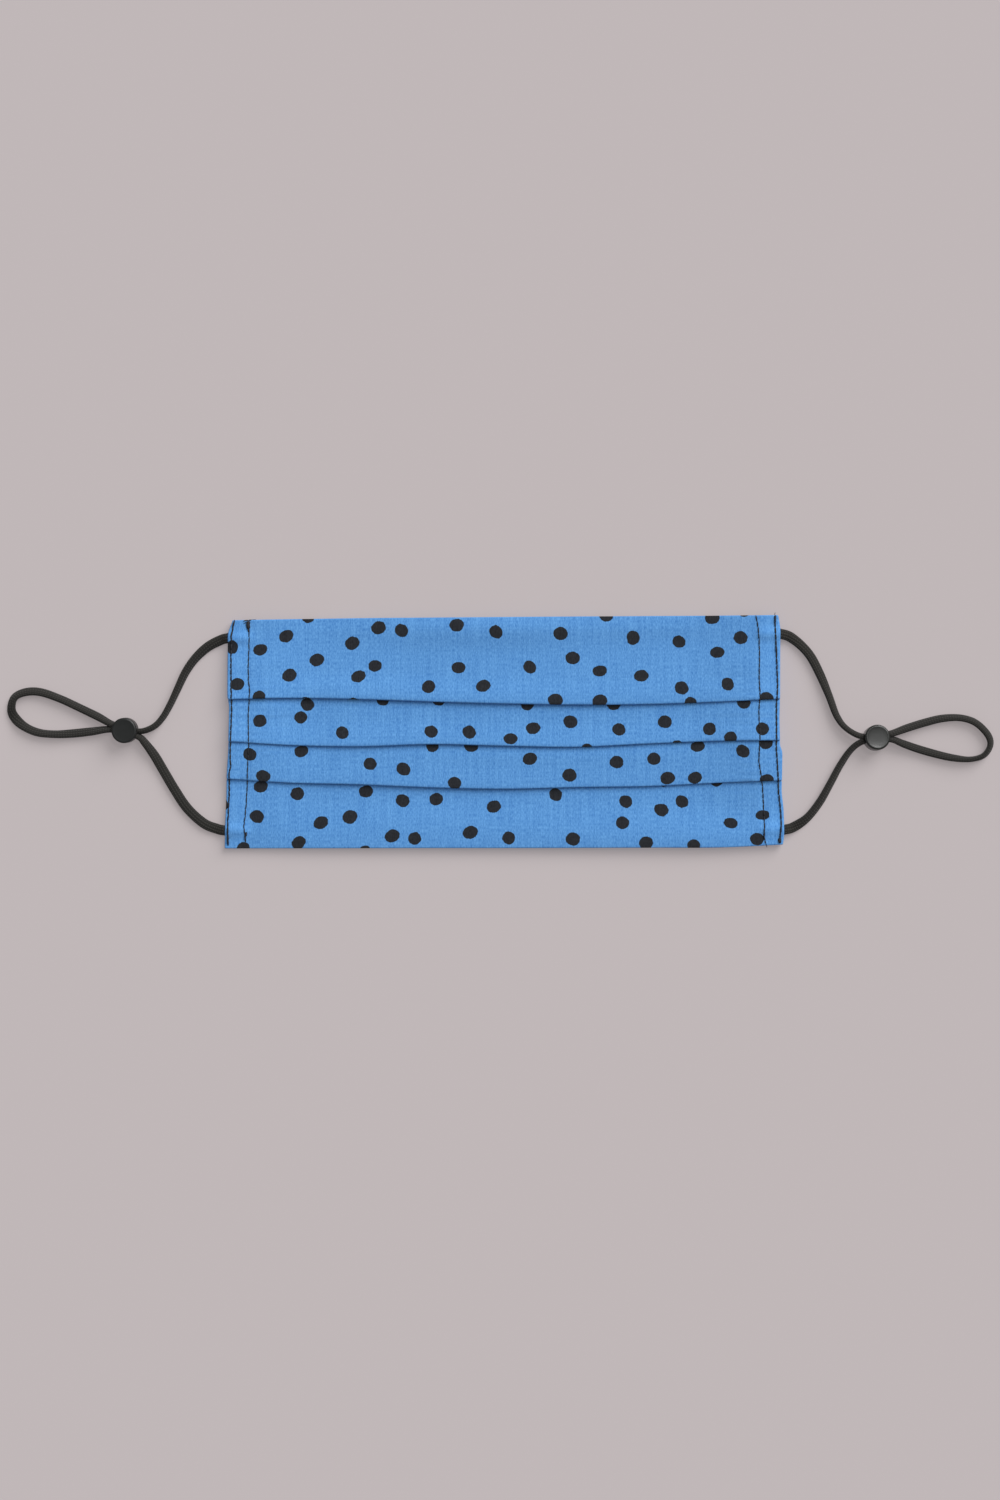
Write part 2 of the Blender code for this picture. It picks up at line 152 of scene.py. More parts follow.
DOT_CHART = (
    ((308.2, 616.6, 0, 64, 60), (286.5, 636.1, 25, 70, 60), (260.6, 649.9, 12, 66, 56),
     (232.4, 647.1, -80, 66, 58), (237.9, 684.4, 12, 66, 60), (259.7, 697.0, 0, 60, 60),
     (289.8, 675.4, 25, 71, 60), (317.0, 659.9, 15, 72, 60), (352.3, 643.2, 25, 72, 64),
     (378.6, 627.8, 20, 71, 62), (401.6, 630.4, -40, 68, 60), (375.2, 665.8, 10, 64, 56),
     (358.6, 676.5, 22, 71, 56), (428.8, 686.8, 30, 66, 62), (456.8, 625.3, 5, 70, 60),
     (458.5, 667.7, 0, 67, 54), (483.2, 686.0, 22, 70, 58), (495.9, 631.8, -45, 68, 58),
     (529.7, 667.1, -40, 66, 58), (555.3, 700.2, 0, 70, 62), (560.6, 633.6, -5, 68, 62),
     (572.7, 658.0, 0, 68, 61), (599.6, 671.0, 8, 68, 54), (606.2, 615.4, 0, 66, 60),
     (599.6, 700.9, 15, 72, 60), (633.0, 637.8, -75, 68, 62), (641.2, 675.7, 5, 70, 56),
     (679.0, 641.4, -35, 66, 58), (681.4, 687.9, -40, 68, 62), (690.3, 703.2, 0, 60, 60),
     (712.3, 617.9, 0, 72, 60), (717.1, 652.3, 5, 70, 54), (727.4, 684.2, -60, 64, 58),
     (740.6, 637.8, -20, 67, 62), (744.2, 610.9, 0, 64, 58), (765.8, 698.3, 10, 66, 60),
     (306.4, 702.9, 0, 60, 60), (353.3, 703.5, 0, 60, 60)),
    ((307.6, 704.6, -25, 66, 60), (301.1, 717.5, 0, 62, 58), (260.4, 721.0, -20, 64, 61),
     (342.5, 732.8, -50, 64, 59), (383.1, 699.2, 0, 64, 62), (439.2, 699.6, 0, 62, 60),
     (431.2, 731.6, -30, 64, 58), (469.3, 732.2, -25, 67, 61), (510.6, 738.7, 5, 67, 52),
     (527.3, 704.2, 0, 63, 60), (533.1, 728.2, 8, 70, 58), (570.4, 721.8, -10, 68, 61),
     (613.5, 703.7, 0, 69, 60), (618.8, 729.4, -25, 64, 60), (664.8, 721.9, -5, 67, 61),
     (709.3, 729.0, 0, 62, 61), (730.1, 737.6, 0, 60, 60), (743.4, 702.4, 0, 63, 60),
     (761.7, 728.8, -15, 62, 60), (586.9, 749.5, 0, 60, 58), (677.0, 746.2, 0, 60, 58)),
    ((250.2, 754.3, -40, 66, 58), (301.5, 751.3, 10, 69, 57), (370.3, 763.8, -30, 63, 59),
     (403.6, 769.1, -32, 69, 58), (432.4, 745.8, 0, 60, 60), (471.2, 745.8, 0, 66, 60),
     (454.8, 782.8, -10, 62, 58), (263.7, 776.0, -15, 70, 56), (529.8, 758.7, 12, 71, 58),
     (569.3, 775.0, -8, 67, 62), (616.5, 762.0, -10, 65, 60), (653.8, 758.7, -15, 63, 61),
     (667.5, 778.1, 12, 70, 58), (694.9, 777.6, 12, 68, 54), (697.6, 746.4, 12, 69, 52),
     (742.2, 751.0, -40, 68, 58), (765.3, 742.8, 0, 67, 60), (766.4, 780.0, 0, 68, 58)),
    ((260.9, 786.5, 5, 67, 58), (297.4, 793.8, -15, 66, 61), (366.1, 791.4, 8, 69, 57),
     (402.7, 800.6, -25, 68, 61), (436.2, 799.1, 15, 65, 61), (493.8, 806.6, 15, 69, 58),
     (257.0, 816.7, -30, 70, 60), (321.0, 822.8, 20, 70, 60), (350.0, 817.0, 12, 72, 64),
     (298.8, 842.4, 22, 71, 58), (392.4, 835.8, 22, 73, 61), (414.9, 838.4, 0, 60, 62),
     (365.0, 851.6, 0, 60, 60), (470.2, 832.2, 25, 73, 60), (508.6, 837.7, 10, 60, 62),
     (243.4, 848.4, 0, 62, 60), (222.6, 804.4, -80, 64, 56), (555.8, 794.6, -45, 64, 59),
     (625.8, 801.6, -30, 63, 59), (661.2, 810.0, -20, 70, 60), (681.8, 801.5, -40, 64, 58),
     (622.4, 822.8, 5, 63, 60), (730.7, 823.1, -8, 67, 50), (762.5, 815.0, 8, 67, 47),
     (572.8, 838.9, 0, 69, 62), (645.9, 842.6, 5, 66, 58), (693.4, 845.2, 0, 62, 58),
     (756.8, 838.8, 10, 68, 60), (716.6, 780.3, 0, 62, 58), (664.2, 780.5, 0, 60, 58)),
)
DOTS = tuple(dot(band, *row) for band, rows in enumerate(DOT_CHART) for row in rows)

# More dots on the turned-under side hems: side, place across the flat cloth
# and down it from the turned top edge.
TURNED_DOTS = tuple(
    (side, 107.0 + 1.9 * math.sin(1.7 * i + side), 6.0 + 14.5 * i + 3.0 * math.cos(2.3 * i + side))
    for side in (-1, 1) for i in range(12))

# The ear loops. A row is how far a point lies outside the panel's widest line,
# its place up the mask, its rise from lying flat (0) to the lock's bore (1), and
# the elastic's roll in degrees: flat at 0 and 180, on edge at 90 and 270.
PANEL_SIDE = 102.1           # the widest line, in millimetres from the middle
ELASTIC_WIDTH = 3.6 * MM
ELASTIC_THICK = 2.0 * MM
KNIT_PITCH = 0.95 * MM       # from one knitted loop to the next
KNIT_RIBS = 12               # lengthwise ribs round it
ELASTIC_SIDES = 20           # faces round it
ELASTIC_STEP = 0.55 * MM     # spacing of its rings
ELASTIC_GAP = 0.05 * MM      # what it keeps off the surface
EXIT_LIFT = 0.25 * MM        # over the side fold's axis, where it enters the hem
ELASTIC_PRESS = 0.86         # 1 leaves it oval, less squares it off
BORE_Z = 3.3 * MM
LoopPoint = namedtuple("LoopPoint", "out up rise roll")


def loop_points(*rows):
    """The points of one loop's route, a row each."""
    return [LoopPoint(*row) for row in rows]


LEFT_LOOP = loop_points(
    (1.5, 33.5, 0.08, 0), (6.25, 31.0, 0, 24), (10.85, 26.7, 0, 41), (14.4, 21.55, 0, 51),
    (17.35, 15.3, 0, 62), (19.85, 10.0, 0, 69), (22.65, 5.15, 0.20, 74), (25.9, 1.8, 0.65, 76),
    (30.75, 0.15, 1, 78), (35.95, 1.47, 1, 90), (41.1, 2.80, 1, 112), (46.4, 5.6, 0.35, 129),
    (53.3, 8.9, 0, 128), (60.0, 12.0, 0, 127), (67.2, 14.45, 0, 134), (72.6, 14.5, 0, 136),
    (76.7, 12.6, 0, 130), (77.9, 8.6, 0, 145), (76.8, 5.3, 0, 174), (73.3, 2.0, 0, 218),
    (68.2, -0.25, 0, 227), (61.9, -0.9, 0, 233), (55.4, -0.6, 0, 219), (48.6, 0.1, 0.25, 224),
    (41.65, 0.85, 1, 248), (36.45, -0.47, 1, 270), (31.25, -1.81, 1, 250),
    (28.9, -4.15, 0.70, 234), (25.6, -8.7, 0.20, 208), (22.5, -14.0, 0, 197),
    (18.2, -21.3, 0, 194), (13.65, -28.0, 0, 186), (7.7, -33.4, 0, 190), (2.6, -35.5, 0.05, 180),
)
RIGHT_LOOP = loop_points(
    (2.2, 34.65, 0.08, 0), (6.45, 31.35, 0, 18), (9.95, 27.15, 0, 25), (13.25, 20.75, 0, 30),
    (16.4, 13.2, 0, 50), (19.3, 5.6, 0.08, 61), (22.8, 1.1, 0.50, 74), (28.08, -1.67, 1, 74),
    (33.41, -1.20, 1, 90), (38.74, -0.73, 1, 68), (45.0, 1.4, 0.35, 52), (51.7, 3.45, 0, 50),
    (58.0, 4.9, 0, 54), (64.5, 5.05, 0, 62), (70.0, 3.25, 0, 58), (74.35, -1.05, 0, 57),
    (75.28, -4.93, 0, 66), (72.88, -8.64, 0, 80), (68.0, -10.05, 0, 98), (61.8, -9.55, 0, 121),
    (55.5, -8.15, 0, 131), (48.9, -6.25, 0, 133), (43.5, -4.4, 0.45, 126),
    (38.92, -2.73, 1, 112), (33.59, -3.20, 1, 90), (28.26, -3.67, 1, 72),
    (24.25, -6.65, 0.50, 66), (20.4, -12.35, 0.05, 57), (16.8, -19.05, 0, 52),
    (13.0, -25.7, 0, 46), (8.4, -31.45, 0, 40), (3.45, -34.8, 0.05, 14),
)

# Cord locks: place outside the panel's side and up the mask, turn of the bore
# away from straight outwards, lean towards the upper right, and the plastic's
# colour, roughness and gloss.
Lock = namedtuple("Lock", "label side out up turn lean colour roughness gloss")
LOCKS = (
    Lock("left", -1, 36.2, 0.5, 14.55, -3.0, (0.0060, 0.0070, 0.0068), 0.42, 0.46),
    # The right lock is painted lighter than the left: painted reflection, standing in for part of
    # the light that its tilted, glossier face reflects.
    Lock("right", 1, 33.5, -2.2, 5.04, 5.0, (0.0130, 0.0140, 0.0128), 0.25, 0.40),
)
LOCK_RADIUS = 4.6 * MM
LOCK_HEIGHT = 6.6 * MM
LOCK_RIM = 0.60 * MM
LOCK_FOOT = 0.85 * LOCK_RADIUS       # where a leaning lock touches the surface
LEAN_EACH_WAY = 0.7          # share of the lean about each of the two long axes
BORE_RADIUS = 2.25 * MM
BORE_EDGE = 0.22 * MM        # the softened edge of the bore
# The end faces are dished a little: rings that step down less and less.
DISH = ((0.25, -0.030), (0.55, -0.022), (0.60, -0.017), (0.60, -0.012), (0.60, -0.007),
        (0.50, -0.003))


# Shapes

def curve(p0, p1, p2, p3, t):
    """The smooth curve through four marks, read at t between the middle two."""
    return 0.5 * ((2 * p1) + (p2 - p0) * t + (2 * p0 - 5 * p1 + 4 * p2 - p3) * t * t
                  + (3 * p1 - p0 - 3 * p2 + p3) * t * t * t)


def smoothed(values, places, x):
    """Smooth curve through values at places, read at x."""
    x = min(max(x, places[0]), places[-1])
    i = 0
    while i < len(places) - 2 and x > places[i + 1]:
        i += 1
    t = (x - places[i]) / (places[i + 1] - places[i])
    p1, p2 = values[i], values[i + 1]
    p0 = values[i - 1] if i > 0 else 2 * p1 - p2
    p3 = values[i + 2] if i + 2 < len(values) else 2 * p2 - p1
    return curve(p0, p1, p2, p3, t)


def straight(points, y):
    """Value read at y, in millimetres, from (y, value) points in either order."""
    points = sorted(points)
    if y <= points[0][0]:
        return points[0][1]
    for (y0, v0), (y1, v1) in zip(points, points[1:]):
        if y <= y1:
            return v0 + (v1 - v0) * (y - y0) / (y1 - y0)
    return points[-1][1]


def side_edge(side, y):
    """Distance of a side edge from the middle at height y, softened a little."""
    points = LEFT_EDGE if side < 0 else RIGHT_EDGE
    total = sum(straight(points, y / MM + d) * w
                for d, w in ((-1.2, 1), (-0.6, 2), (0.0, 3), (0.6, 2), (1.2, 1)))
    return total / 9.0 * MM


def pressed(value, press):
    """A sine or cosine, shaped so that a round turn comes out pressed flat."""
    return math.copysign(abs(value) ** press, value)


def ease(t):
    """Smooth step from 0 to 1."""
    t = min(max(t, 0.0), 1.0)
    return t * t * (3.0 - 2.0 * t)


class Cut:
    """The folded cloth cut from top to bottom, at one place across."""

    def __init__(self, x):
        x = x / MM
        self.top = smoothed(TOP_EDGE, ACROSS, x) * MM - TURN_REACH
        self.bottom = smoothed(BOTTOM_EDGE, ACROSS, x) * MM + TURN_REACH
        self.folds = [smoothed(row, ACROSS, x) * MM for row in PLEATS]
        self.turns = [f + TURN_REACH for f in self.folds]
        self.backs = [f + PLEAT_DEPTH - TURN_REACH for f in self.folds]
        self.laps = [f + PLEAT_DEPTH for f in self.folds]
        self.puff = [smoothed(row, ACROSS, x) * MM for row in PUFFS]
        self.eases = [self.laps[0] + TOP_EASE]
        for upper, lower in zip(self.backs, self.laps[1:]):
            self.eases.append(lower + LOWER_EASE * (upper - lower))

    def keys(self):
        return sorted([self.top, self.bottom] + self.turns + self.backs
                      + self.laps + self.eases)

    def level(self, band, y):
        """Height of a band's middle above the lowest layer."""
        if band == len(self.folds):
            return 0.0
        lap = self.laps[band]
        if y <= lap:
            return self.level(band + 1, y) + 2 * PLY
        start = self.level(band + 1, lap) + 2 * PLY
        return start * (1.0 - ease((y - lap) / (self.eases[band] - lap)))

    def front(self, band, y):
        """Height of a band's middle with its front fold standing open."""
        if band == len(self.folds):
            return self.level(band, y)
        return self.level(band, y) + self.puff[band] * math.exp(
            -((y - self.turns[band]) / PUFF_REACH) ** 2)

    def seen(self, y):
        """Height of the uppermost band at y."""
        for band, (fold, turn) in enumerate(zip(self.folds, self.turns)):
            if y > fold:
                return self.front(band, max(y, turn))
        return self.level(len(self.folds), y)


middle_keys = Cut(0.0).keys()
DIVISIONS = [max(1, math.ceil((high - low) / CLOTH_SPACING))
             for low, high in zip(middle_keys, middle_keys[1:])]
TURN_STEPS = 7               # faces round a fold
HIDDEN = -1                  # marks cloth that no dot is charted on


def cloth_path(cut):
    """Points (y, height, band) along the cloth, from under the top edge to
    under the bottom edge. Height is above the lowest layer of the pleats."""
    keys = cut.keys()
    heights = [keys[0]]
    for low, high, count in zip(keys, keys[1:], DIVISIONS):
        heights += [low + (high - low) * i / count for i in range(1, count + 1)]

    def run(low, high):
        return [y for y in heights if low - 1e-9 <= y <= high + 1e-9]

    def arc(y, low, high, start, stop):
        for i in range(1, TURN_STEPS):
            a = math.radians(start + (stop - start) * i / TURN_STEPS)
            yield (y + TURN * pressed(math.cos(a), FOLD_PRESS),
                   (low + high) / 2 + (high - low) / 2 * pressed(math.sin(a), FOLD_PRESS))

    path = []
    for i in range(EDGE_STEPS + 1):
        path.append((cut.top - EDGE_TURN * (1 - i / EDGE_STEPS), -PLY, HIDDEN))
    path += [(y, z, HIDDEN) for y, z in arc(cut.top, -PLY, 0.0, -90, 90)]
    upper = cut.top
    for band, (turn, back) in enumerate(zip(cut.turns, cut.backs)):
        path += [(y, cut.front(band, y), band) for y in reversed(run(turn, upper))]
        low, high = cut.level(band + 1, turn) + PLY, cut.front(band, turn)
        path += [(y, z, HIDDEN) for y, z in arc(turn, low, high, 90, 270)]
        path += [(y, cut.level(band + 1, y) + PLY, HIDDEN) for y in run(turn, back)]
        low = cut.level(band + 1, back)
        path += [(y, z, HIDDEN) for y, z in arc(back, low, low + PLY, 90, -90)]
        upper = back
    last = len(cut.folds)
    path += [(y, cut.level(last, y), last) for y in reversed(run(cut.bottom, upper))]
    path += [(y, z, HIDDEN) for y, z in arc(cut.bottom, -PLY, 0.0, 90, 270)]
    for i in range(EDGE_STEPS + 1):
        path.append((cut.bottom + EDGE_TURN * i / EDGE_STEPS, -PLY, HIDDEN))
    return path


HEM_CUTS = {-1: Cut(-HEM_MIDDLE), 1: Cut(HEM_MIDDLE)}
HEM_REACH = 21               # millimetres of the hem that its height is averaged over
HEM_SOFTNESS = 10.0
# How the cloth curls up towards its ends: the height where a curl starts, the
# length that it takes, below 0 when it runs downwards, and how far it rises.
HEM_CURLS = {-1: ((-16.0, -14.0, 0.50), (-36.0, -7.0, -0.35), (27.0, 13.0, 0.80)),
             1: ((-28.0, -12.0, 1.00), (27.0, 13.0, 0.80))}
PANEL_CURLS = ((-24.0, -17.0, 1.30), (36.5, 5.5, -0.28))


def curled(curls, y):
    """What the curls add to the cloth's height at y."""
    return MM * sum(rise * ease((y / MM - start) / length) for start, length, rise in curls)


def hem_axis(side, y):
    """Height of the side fold's axis, so that the rolled hem rests on the surface."""
    cut = HEM_CUTS[side]
    total = weight = 0.0
    for i in range(-HEM_REACH, HEM_REACH + 1, 3):
        w = math.exp(-(i / HEM_SOFTNESS) ** 2)
        total += w * cut.seen(min(max(y + i * MM, cut.bottom), cut.top))
        weight += w
    return CLOTH / 2 + HEM_LIFT + HEM_CORE + curled(HEM_CURLS[side], y) + total / weight


def relief(x, y):
    """Soft unevenness of the cloth, in metres, from a few mounds and ripples."""
    mx, my = x / MM, y / MM
    rise = 0.0
    for cx, cy, rx, ry, height in MOUNDS:
        rise += height * math.exp(-((mx - cx) / rx) ** 2 - ((my - cy) / ry) ** 2)
    for height, along, up, seed in RIPPLES:
        rise += height * noise.noise(Vector((mx * along, my * up, seed)))
    return rise * MM


def exit_bulge(side, distance, y):
    """The elastic's end inside the hem lifts the cloth in a low ridge."""
    rise = 0.0
    for which, height in EXITS:
        if which == side:
            across = ease((ENDS_REACH - distance) / ENDS_FADE)
            rise += ENDS_RISE * across * math.exp(-((y - height * MM) / ENDS_HALF_WIDTH) ** 2)
    return rise


def seam_dent(side, x, y):
    """The thread pulls the cloth down along each seam."""
    dent = 0.0
    for line in ((LEFT_OUTER, LEFT_INNER) if side < 0 else (RIGHT_INNER, RIGHT_OUTER)):
        seam = straight(line, y / MM) * MM
        pull = 0.8 + 0.2 * math.cos(math.tau * y / STITCH_PITCH)
        dent += SEAM_DENT * pull * math.exp(-((abs(x) - seam) / SEAM_DENT_WIDTH) ** 2)
    return dent


def base_height(x, y):
    """Height of the pleats' lowest layer away from the hems."""
    return PANEL_LIFT + relief(x, y) + curled(PANEL_CURLS, y)


def deselect():
    bpy.ops.object.select_all(action="DESELECT")


def finish_piece(obj, *mods):
    """Apply the modifiers named, with only obj selected."""
    deselect()
    obj.select_set(True)
    bpy.context.view_layer.objects.active = obj
    for name in mods:
        bpy.ops.object.modifier_apply(modifier=name)


def mesh_piece(name, bm):
    """A smooth-shaded piece of the mesh just made."""
    mesh = bpy.data.meshes.new(name)
    bm.to_mesh(mesh)
    bm.free()
    obj = bpy.data.objects.new(name, mesh)
    bpy.context.scene.collection.objects.link(obj)
    mesh.shade_smooth()
    return obj


INNER_COLUMNS = 150          # faces of the cloth's mesh across the panel
ROLL_STEPS = 9               # round each side fold
UNDER_STEPS = 6              # and under each hem
TURNED_DOT = Dot(0, 0, 0, 20, 2.45, 2.2)
TURNED_FIRST = 200           # their numbers start past all of the charted ones
FAR = 9.0                    # half axes of a dot beyond which nothing is read
SEED_STEP = 0.37             # keeps each dot's wobble unlike the others'
Spot = namedtuple("Spot", "place flat_x run band")


def columns():
    """Places across the cloth: (kind, side, share), from the left hem's raw
    edge under the mask, round the side fold, across and under again."""
    left = [("under", -1, 1 - i / UNDER_STEPS) for i in range(UNDER_STEPS)]
    left += [("roll", -1, 1 - i / ROLL_STEPS) for i in range(ROLL_STEPS)]
    inner = [("flat", 0, i / INNER_COLUMNS) for i in range(INNER_COLUMNS + 1)]
    right = [(kind, 1, share) for kind, side, share in reversed(left)]
    return left + inner + right


def cloth_point(kind, side, share, y, level, top_level):
    """Place of a point of the cloth, and how far across the flat cloth it is."""
    left = -side_edge(-1, y) + HEM_ROLL + CLOTH / 2
    right = side_edge(1, y) - HEM_ROLL - CLOTH / 2
    if kind == "flat":
        x = left + (right - left) * share
        side = -1 if share < 0.5 else 1
    else:
        x = left if side < 0 else right
    flat_x = x
    distance = min(x - left, right - x)
    axis = hem_axis(side, y)
    hem = axis + HEM_CORE
    into = ease((distance - HEM_WIDTH) / HEM_BLEND)
    base = hem * (1 - into) + base_height(x, y) * into
    bulge = exit_bulge(side, distance, y)
    if kind == "flat":
        z = base + level + bulge - seam_dent(side, x, y)
        return x, z, flat_x
    radius = HEM_CORE + level
    reach = HEM_ROLL * radius / (HEM_CORE + top_level)
    if kind == "roll":
        a = math.pi * share
        lift = bulge * max(0.0, math.cos(a / 2)) ** 2
        z = axis + radius * pressed(math.cos(a), SIDE_PRESS) + lift
        x += side * reach * pressed(math.sin(a), SIDE_PRESS)
        flat_x += side * (reach + radius) / 2 * a
    else:
        flat_x += side * ((reach + radius) / 2 * math.pi + HEM_WIDTH * share)
        x -= side * HEM_WIDTH * share
        z = axis - radius
    return x, max(z, CLOTH / 2 + FLOOR_GAP), flat_x


def shape_cloth(places):
    """Every point of the folded cloth by column and row, with its place on the
    flat cloth: how far across, and the run down from the turned top edge."""
    spots = {}
    for c, (kind, side, share) in enumerate(places):
        cut = Cut(HEM_MIDDLE * (2 * share - 1 if kind == "flat" else side))
        run, last = 0.0, None
        for r, (y, level, band) in enumerate(cloth_path(cut)):
            if last is not None:
                run += math.hypot(y - last[0], level - last[1])
            last = (y, level)
            x, z, flat_x = cloth_point(kind, side, share, y, level, max(cut.seen(y), level))
            spots[c, r] = Spot(Vector((x, y, z)), flat_x, run, band)
    return spots


def lay_dots(spots, flat_columns, rows):
    """Every dot on the flat cloth, by the band it shows on: (across, run, dot, number)."""
    laid = []
    for n, d in enumerate(DOTS):
        x, y = d.x * MM, d.y * MM
        c = min(flat_columns, key=lambda k: abs(spots[k, rows // 2].flat_x - x))
        column = [spots[c, r] for r in range(rows)]
        spot = min((s for s in column if s.band == d.band), key=lambda s: abs(s.place.y - y))
        laid.append((x, spot.run + (spot.place.y - y), d, n))
    for n, (side, along, down_by) in enumerate(TURNED_DOTS):
        laid.append((side * along * MM, down_by * MM, TURNED_DOT, n + TURNED_FIRST))
    return laid


def on_dot(d, across, run):
    """A flat place seen from a dot's middle, in half axes of the dot."""
    x, s, shape, n = d
    tilt = math.radians(shape.tilt)
    u, v = across - x, s - run
    along = u * math.cos(tilt) + v * math.sin(tilt)
    up = -u * math.sin(tilt) + v * math.cos(tilt)
    return (max(-FAR, min(FAR, along / (shape.long * MM))),
            max(-FAR, min(FAR, up / (shape.short * MM))))


def print_cloth(mesh, spot_of, laid):
    """UV maps for the weave and for the two dots nearest each face."""
    first, second, seeds, weave = (mesh.uv_layers.new(name=name) for name in (
        "dot_first", "dot_second", "dot_seed", "weave"))
    for polygon in mesh.polygons:
        corners = [(li, spot_of[mesh.loops[li].vertex_index]) for li in polygon.loop_indices]
        x = sum(spot.flat_x for li, spot in corners) / len(corners)
        s = sum(spot.run for li, spot in corners) / len(corners)
        pair = sorted(laid, key=lambda d: (d[0] - x) ** 2 + (d[1] - s) ** 2)[:2]
        for li, spot in corners:
            weave.data[li].uv = (spot.flat_x, -spot.run)
            seeds.data[li].uv = (pair[0][3] * SEED_STEP, pair[1][3] * SEED_STEP)
            for layer, d in zip((first, second), pair):
                layer.data[li].uv = on_dot(d, spot.flat_x, spot.run)
    mesh.uv_layers.remove(mesh.uv_layers["UVMap"])
    mesh.uv_layers.active = mesh.uv_layers["weave"]


def make_panel():
    """The whole cloth as one sheet: pleats, side hems and turned edges."""
    places = columns()
    rows = len(cloth_path(Cut(0.0)))
    deselect()
    bpy.ops.mesh.primitive_grid_add(x_subdivisions=len(places) - 1, y_subdivisions=rows - 1,
                                    size=1.0, location=(0, 0, 0))
    panel = bpy.context.active_object
    panel.name = panel.data.name = "mask_cloth"
    mesh = panel.data
    spots = shape_cloth(places)
    spot_of = [spots[round((v.co.x + 0.5) * (len(places) - 1)), round((0.5 - v.co.y) * (rows - 1))]
               for v in mesh.vertices]
    for v, spot in zip(mesh.vertices, spot_of):
        v.co = spot.place
    flat_columns = [c for c, (kind, side, share) in enumerate(places) if kind == "flat"]
    print_cloth(mesh, spot_of, lay_dots(spots, flat_columns, rows))

    mesh.materials.append(cotton("printed_cotton", printed=True))
    mesh.materials.append(cotton("plain_cotton", printed=False))
    middle = max(mesh.polygons, key=lambda p: p.center.z - abs(p.center.x))
    if middle.normal.z < 0:
        mesh.flip_normals()
    solidify = panel.modifiers.new("thickness", "SOLIDIFY")
    solidify.thickness = CLOTH
    solidify.offset = 0.0
    solidify.use_even_offset = True
    solidify.material_offset = 1
    solidify.material_offset_rim = 0
    finish_piece(panel, "thickness")
    bpy.ops.object.shade_smooth()
    return panel


# Materials

class Nodes:
    """Short names for building a material's nodes."""

    def __init__(self, name, roughness, specular=0.5):
        self.material = bpy.data.materials.new(name)
        self.material.use_nodes = True
        self.tree = self.material.node_tree
        self.shader = self.tree.nodes["Principled BSDF"]
        self.shader.inputs["Roughness"].default_value = roughness
        self.shader.inputs["Specular IOR Level"].default_value = specular

    def node(self, kind, **settings):
        node = self.tree.nodes.new(kind)
        for key, value in settings.items():
            setattr(node, key, value)
        return node

    def feed(self, socket, value):
        if isinstance(value, bpy.types.NodeSocket):
            self.tree.links.new(value, socket)
        else:
            socket.default_value = value

    def math(self, operation, a, b=0.0):
        node = self.node("ShaderNodeMath", operation=operation)
        for socket, value in zip(node.inputs, (a, b)):
            self.feed(socket, value)
        return node.outputs[0]

    def times(self, a, b):
        return self.math("MULTIPLY", a, b)

    def plus(self, a, b):
        return self.math("ADD", a, b)

    def swing(self, value, pattern, weight):
        """Value moved up and down by a pattern that runs from 0 to 1."""
        return self.plus(value, self.times(self.math("SUBTRACT", pattern, 0.5), weight))

    def between(self, value, low, high, to_low=0.0, to_high=1.0):
        node = self.node("ShaderNodeMapRange", clamp=True)
        for key, v in (("Value", value), ("From Min", low), ("From Max", high),
                       ("To Min", to_low), ("To Max", to_high)):
            self.feed(node.inputs[key], v)
        return node.outputs[0]

    def uv(self, name):
        return self.node("ShaderNodeUVMap", uv_map=name).outputs[0]

    def stretched(self, vector, scale, offset=(0, 0, 0)):
        node = self.node("ShaderNodeMapping")
        self.feed(node.inputs["Vector"], vector)
        node.inputs["Scale"].default_value = scale
        node.inputs["Location"].default_value = offset
        return node.outputs[0]

    def noise(self, vector, scale=1.0, detail=2.0, roughness=0.5):
        node = self.node("ShaderNodeTexNoise")
        self.feed(node.inputs["Vector"], vector)
        node.inputs["Scale"].default_value = scale
        node.inputs["Detail"].default_value = detail
        node.inputs["Roughness"].default_value = roughness
        return node.outputs[0]

    def mix(self, share, a, b):
        node = self.node("ShaderNodeMix", data_type="RGBA")
        self.feed(node.inputs[0], share)
        self.feed(node.inputs[6], a)
        self.feed(node.inputs[7], b)
        return node.outputs[2]

    def split(self, vector):
        node = self.node("ShaderNodeSeparateXYZ")
        self.feed(node.inputs[0], vector)
        return node.outputs

    def paint(self, colour):
        self.feed(self.shader.inputs["Base Color"], colour)

    def bump(self, height, strength, distance):
        node = self.node("ShaderNodeBump")
        node.inputs["Strength"].default_value = strength
        node.inputs["Distance"].default_value = distance
        self.feed(node.inputs["Height"], height)
        self.feed(self.shader.inputs["Normal"], node.outputs[0])


